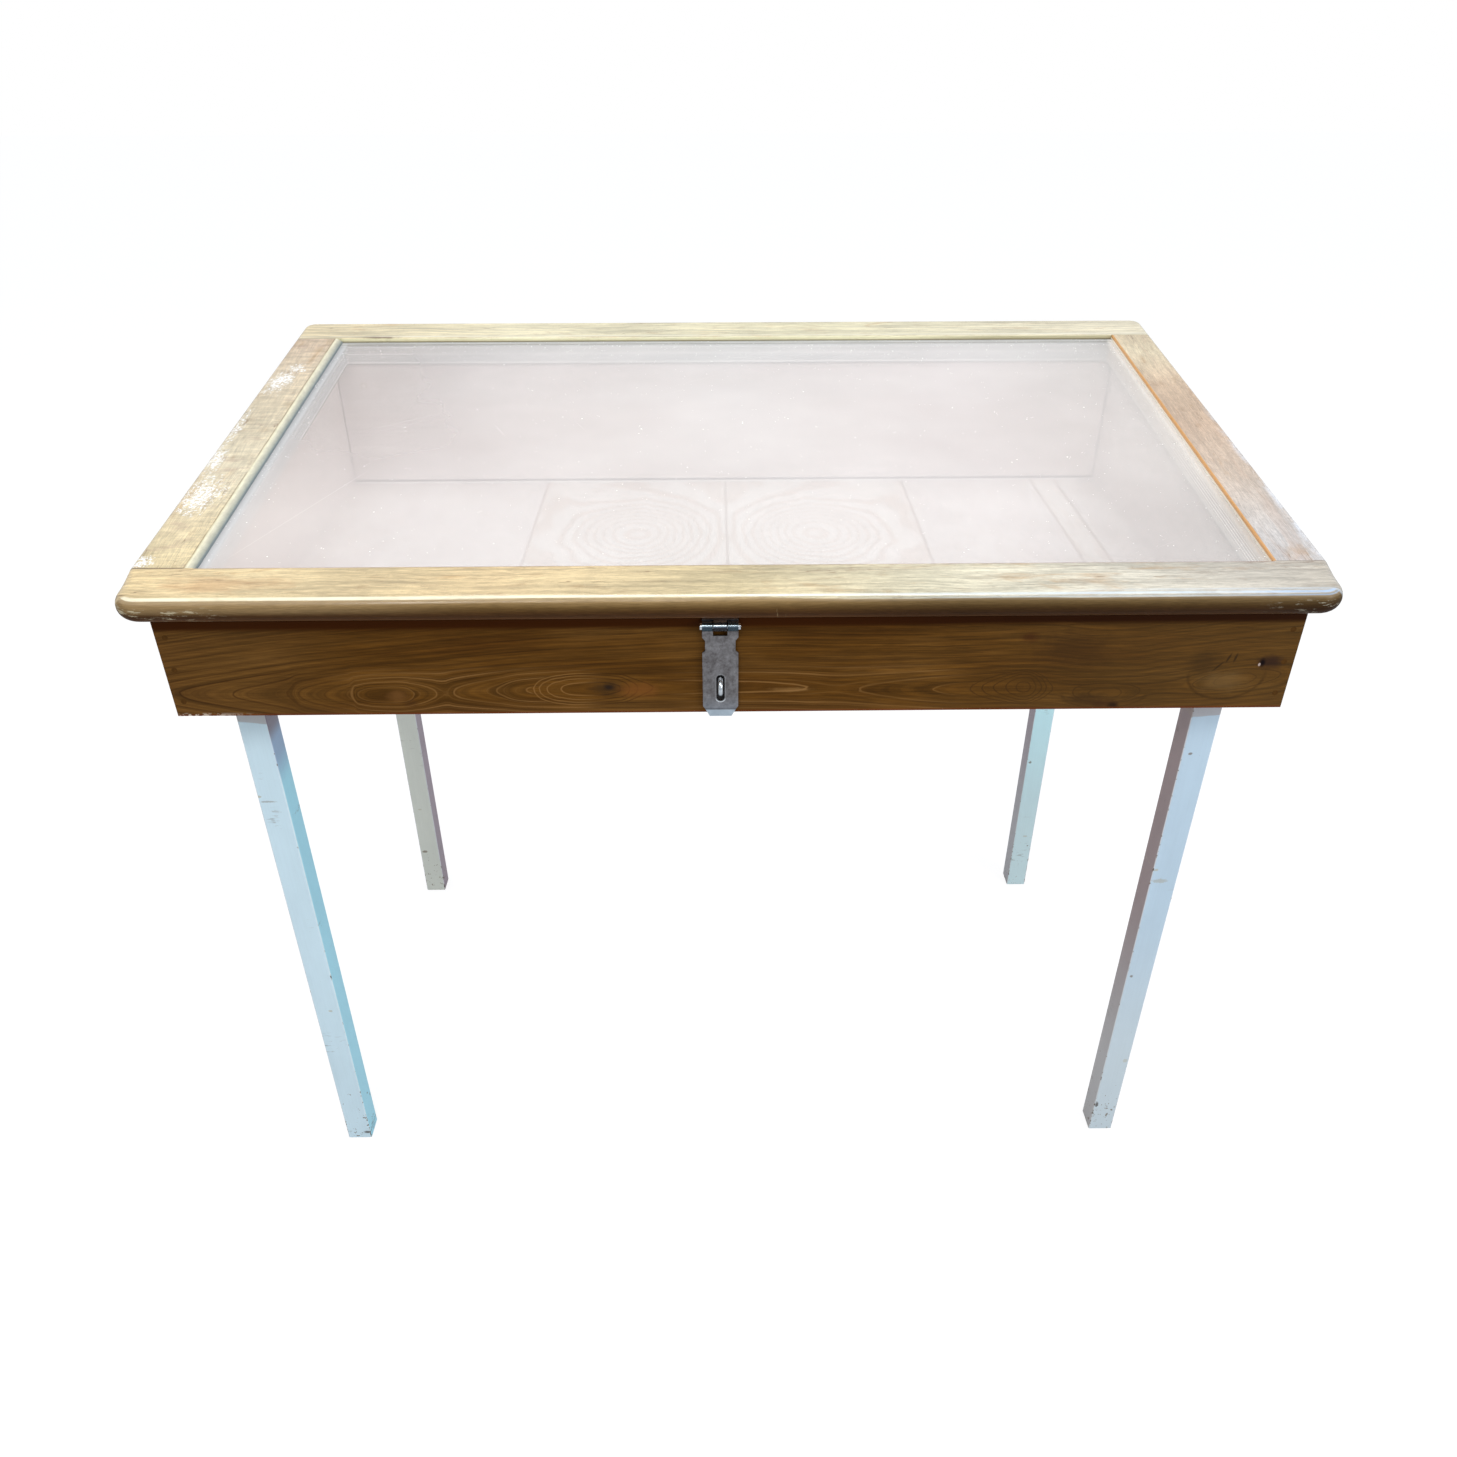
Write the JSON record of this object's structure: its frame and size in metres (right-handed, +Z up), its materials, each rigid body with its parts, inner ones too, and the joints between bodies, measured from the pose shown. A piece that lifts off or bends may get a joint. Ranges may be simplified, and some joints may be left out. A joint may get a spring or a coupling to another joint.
{
  "type": "display table",
  "caption": "Free-standing display table with a sloped glass lid in a rounded timber frame, hinged at the back, a hasp and staple in front, a dark timber case and square white legs.",
  "frame": {"origin": "on the floor, under the middle of the lid", "axes": "+X to the right seen from the front, +Y towards the hinged back, +Z up"},
  "size_m": [1.2, 0.7252, 0.9654],
  "materials": {
    "varnished_frame_wood": "worn varnish",
    "pale_rim_wood": "satin",
    "milky_glass": "scratched and dusty",
    "dark_board_wood": "dark oiled, coarse grain",
    "pale_floor_wood": "matte",
    "bearer_wood": "sawn",
    "white_leg_paint": "white gloss paint, chipped at the edges",
    "aged_hasp_steel": "dull plated steel",
    "bright_steel": "bright plated steel",
    "plain_steel": "zinc plated",
    "hinge_brass": "dull brass",
    "screw_steel": "dull steel"
  },
  "bodies": {
    "case": {"front_board": "dark_board_wood", "back_board": "dark_board_wood", "left_side_board": "dark_board_wood", "right_side_board": "dark_board_wood", "floor_board_left": "pale_floor_wood", "floor_board_centre_left": "pale_floor_wood", "floor_board_centre_right": "pale_floor_wood", "floor_board_right": "pale_floor_wood", "floor_strip_right": "pale_floor_wood", "floor_board_right_end": "pale_floor_wood", "leg_front_left": "white_leg_paint", "leg_front_right": "white_leg_paint", "leg_back_left": "white_leg_paint", "leg_back_right": "white_leg_paint", "leg_plate_front_left": "plain_steel", "leg_plate_front_right": "plain_steel", "leg_plate_back_left": "plain_steel", "leg_plate_back_right": "plain_steel", "leg_bearer_left": "bearer_wood", "leg_bearer_right": "bearer_wood", "hanger_bolts": "plain_steel", "leg_plate_screws": "screw_steel", "bearer_screws": "screw_steel", "corner_nails": "screw_steel", "hinge_case_leaves": "hinge_brass", "hinge_case_screws": "screw_steel", "hinge_pins": "hinge_brass", "staple_plate": "plain_steel", "staple_loop": "bright_steel", "staple_screws": "screw_steel"},
    "lid": {"lid_front_rail": "varnished_frame_wood", "lid_back_rail": "varnished_frame_wood", "lid_left_stile": "varnished_frame_wood", "lid_right_stile": "varnished_frame_wood", "glass_pane": "milky_glass", "rim_front": "pale_rim_wood", "rim_back": "pale_rim_wood", "rim_left": "pale_rim_wood", "rim_right": "pale_rim_wood", "rim_screws": "screw_steel", "hasp_leaf": "aged_hasp_steel", "hasp_leaf_screws": "screw_steel", "hinge_lid_leaves": "hinge_brass", "hinge_lid_screws": "screw_steel"},
    "hasp": {"hasp_strap": "aged_hasp_steel", "hasp_pin": "bright_steel"}
  },
  "joints": [
    {"name": "lid_hinge", "type": "hinge", "parent": "case", "child": "lid", "pos_m": [0, 0.33493, 0.92443], "axis": [-1, 0, 0], "range_deg": [0, 115]},
    {"name": "hasp_hinge", "type": "hinge", "parent": "lid", "child": "hasp", "pos_m": [-0.012, -0.34162, 0.83363], "axis": [-1, 0, 0], "range_deg": [0, 105]}
  ]
}
